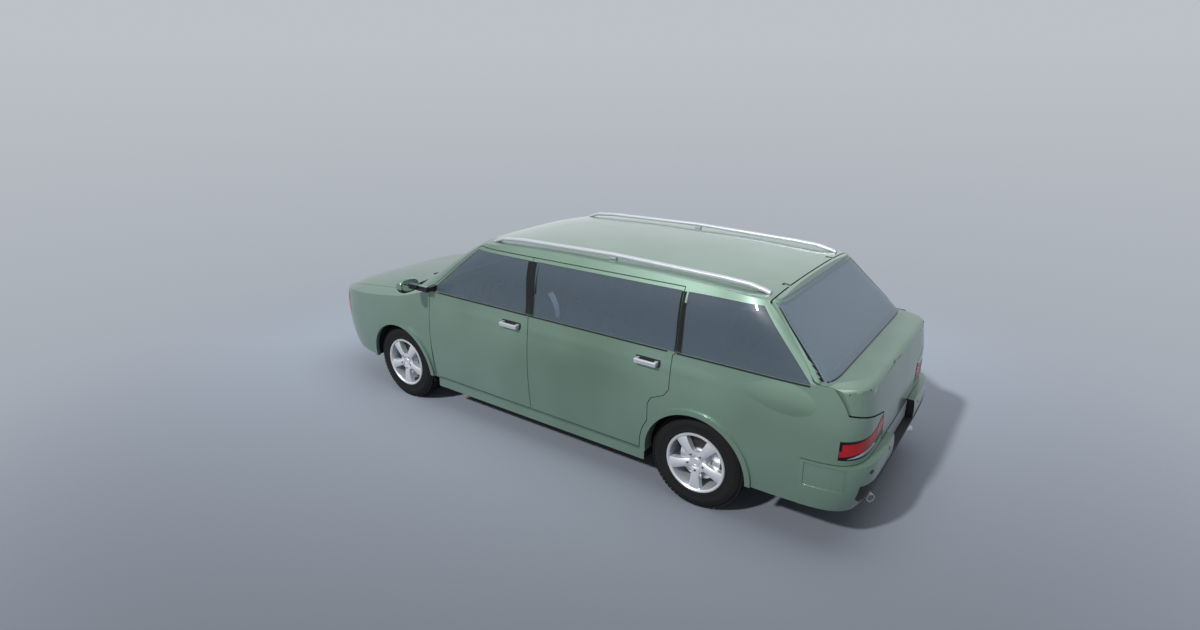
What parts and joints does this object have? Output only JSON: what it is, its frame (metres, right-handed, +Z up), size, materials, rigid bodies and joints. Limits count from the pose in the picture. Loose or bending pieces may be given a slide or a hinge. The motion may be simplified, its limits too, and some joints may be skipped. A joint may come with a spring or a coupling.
{
  "type": "station wagon",
  "caption": "Five-door station wagon with sloping tail, roof rails, hinged doors, tailgate and bonnet, steered front wheels and a furnished cabin",
  "frame": {"origin": "middle of the footprint on the ground, under the middle of the car's length and width", "axes": "+Z up, front of the car faces -Y, the car's left side is +X"},
  "size_m": [2.12, 4.8296, 1.5399],
  "materials": {
    "body_paint": "sage green metallic paint under clear coat",
    "underbody": "black underbody coating",
    "engine_iron": "cast",
    "black_plastic": "grained black plastic",
    "clear_lens": "clear moulded lens",
    "red_lens": "red moulded lens",
    "window_glass": "tinted toughened glass",
    "rail_metal": "satin anodised",
    "seat_fabric": "grey woven cloth",
    "dash_plastic": "grained dark plastic",
    "suspension_steel": "black painted steel",
    "exhaust_steel": "stainless steel",
    "tank_plastic": "moulded",
    "plate_white": "blank white plate",
    "wiper_black": "satin black",
    "seal_rubber": "soft black",
    "tyre": "moulded rubber",
    "wheel_alloy": "bright silver painted alloy"
  },
  "bodies": {
    "root": {"floor_pan": "underbody", "engine_bay": "underbody", "engine_block": "engine_iron", "side_wall_left": "body_paint", "side_wall_right": "body_paint", "roof_panel": "body_paint", "front_fenders": "body_paint", "cowl": "black_plastic", "front_bumper": "body_paint", "grille": "black_plastic", "headlamps": "clear_lens", "tail_lamps": "red_lens", "rear_bumper": "body_paint", "fixed_glass": "window_glass", "roof_rails": "rail_metal", "front_seats": "seat_fabric", "rear_bench": "seat_fabric", "dashboard": "dash_plastic", "front_suspension": "suspension_steel", "rear_axle": "suspension_steel", "exhaust": "exhaust_steel", "fuel_tank": "tank_plastic", "number_plates": "plate_white", "wipers": "wiper_black", "door_seals": "seal_rubber"},
    "bonnet": {"bonnet": "body_paint"},
    "tailgate": {"tailgate": "body_paint", "tailgate_glass": "window_glass"},
    "steering_wheel": {"steering_wheel": "dash_plastic"},
    "front_door_left": {"front_door_left": "body_paint", "front_door_glass_left": "window_glass", "front_handle_left": "rail_metal", "mirror_left": "body_paint"},
    "rear_door_left": {"rear_door_left": "body_paint", "rear_door_glass_left": "window_glass", "rear_handle_left": "rail_metal"},
    "knuckle_left": {"knuckle_left": "suspension_steel"},
    "front_wheel_left": {"front_tyre_left": "tyre", "front_rim_left": "wheel_alloy"},
    "rear_wheel_left": {"rear_tyre_left": "tyre", "rear_rim_left": "wheel_alloy"},
    "front_door_right": {"front_door_right": "body_paint", "front_door_glass_right": "window_glass", "front_handle_right": "rail_metal", "mirror_right": "body_paint"},
    "rear_door_right": {"rear_door_right": "body_paint", "rear_door_glass_right": "window_glass", "rear_handle_right": "rail_metal"},
    "knuckle_right": {"knuckle_right": "suspension_steel"},
    "front_wheel_right": {"front_tyre_right": "tyre", "front_rim_right": "wheel_alloy"},
    "rear_wheel_right": {"rear_tyre_right": "tyre", "rear_rim_right": "wheel_alloy"}
  },
  "joints": [
    {"name": "front_wheel_left_spin", "type": "hinge", "parent": "knuckle_left", "child": "front_wheel_left", "pos_m": [0.735, -1.385, 0.3175], "axis": [1, 0, 0], "continuous": true},
    {"name": "rear_wheel_left_spin", "type": "hinge", "parent": "root", "child": "rear_wheel_left", "pos_m": [0.735, 1.385, 0.3175], "axis": [1, 0, 0], "continuous": true},
    {"name": "steer_left", "type": "hinge", "parent": "root", "child": "knuckle_left", "pos_m": [0.69, -1.385, 0.3175], "axis": [0, 0, 1], "range_deg": [-34, 34]},
    {"name": "front_door_left_swing", "type": "hinge", "parent": "root", "child": "front_door_left", "pos_m": [0.8775, -0.998, 0.6], "axis": [0, 0, -1], "range_deg": [0, 65]},
    {"name": "rear_door_left_swing", "type": "hinge", "parent": "root", "child": "rear_door_left", "pos_m": [0.8775, 0.043, 0.6], "axis": [0, 0, -1], "range_deg": [0, 65]},
    {"name": "front_wheel_right_spin", "type": "hinge", "parent": "knuckle_right", "child": "front_wheel_right", "pos_m": [-0.735, -1.385, 0.3175], "axis": [1, 0, 0], "continuous": true},
    {"name": "rear_wheel_right_spin", "type": "hinge", "parent": "root", "child": "rear_wheel_right", "pos_m": [-0.735, 1.385, 0.3175], "axis": [1, 0, 0], "continuous": true},
    {"name": "steer_right", "type": "hinge", "parent": "root", "child": "knuckle_right", "pos_m": [-0.69, -1.385, 0.3175], "axis": [0, 0, 1], "range_deg": [-34, 34]},
    {"name": "front_door_right_swing", "type": "hinge", "parent": "root", "child": "front_door_right", "pos_m": [-0.8775, -0.998, 0.6], "axis": [0, 0, 1], "range_deg": [0, 65]},
    {"name": "rear_door_right_swing", "type": "hinge", "parent": "root", "child": "rear_door_right", "pos_m": [-0.8775, 0.043, 0.6], "axis": [0, 0, 1], "range_deg": [0, 65]},
    {"name": "steering_wheel_turn", "type": "hinge", "parent": "root", "child": "steering_wheel", "pos_m": [0.37, -0.745, 0.892], "axis": [0, 0.9285, 0.3714], "range_deg": [-476, 476]},
    {"name": "tailgate_lift", "type": "hinge", "parent": "root", "child": "tailgate", "pos_m": [0, 1.706, 1.431], "axis": [1, 0, 0], "range_deg": [0, 75]},
    {"name": "bonnet_lift", "type": "hinge", "parent": "root", "child": "bonnet", "pos_m": [0, -1.38, 0.945], "axis": [-1, 0, 0], "range_deg": [0, 50]}
  ],
  "couplings": [
    {"joint": "steer_right", "follows": "steer_left", "ratio": 1},
    {"joint": "steering_wheel_turn", "follows": "steer_left", "ratio": -14}
  ]
}
